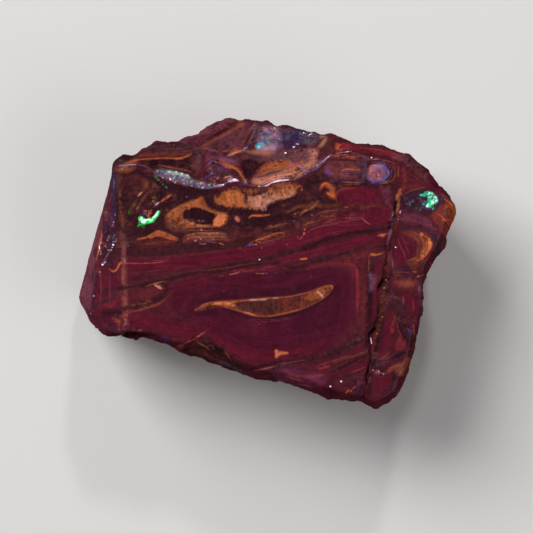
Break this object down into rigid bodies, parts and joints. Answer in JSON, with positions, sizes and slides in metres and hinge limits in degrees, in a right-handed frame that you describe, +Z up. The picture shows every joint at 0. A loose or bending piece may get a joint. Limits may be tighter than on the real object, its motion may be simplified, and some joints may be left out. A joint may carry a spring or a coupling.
{
  "type": "rough boulder opal",
  "caption": "Rough chunk of banded brown and maroon ironstone with seams of precious opal, sawn flat on its face, one side and its back, and broken elsewhere.",
  "frame": {"origin": "middle of the stone's footprint, on the sawn back that it rests on", "axes": "+Z up out of the sawn show face; +X along the stone's length, towards the end with the crack; +Y towards the broken brow with the opal seam"},
  "size_m": [0.038, 0.029, 0.014],
  "materials": {
    "ironstone": "sawn and wetted maroon and brown ironstone with ochre bands and green and blue opal, broken sides rougher"
  },
  "bodies": {
    "root": {"boulder_opal": "ironstone"}
  },
  "joints": []
}
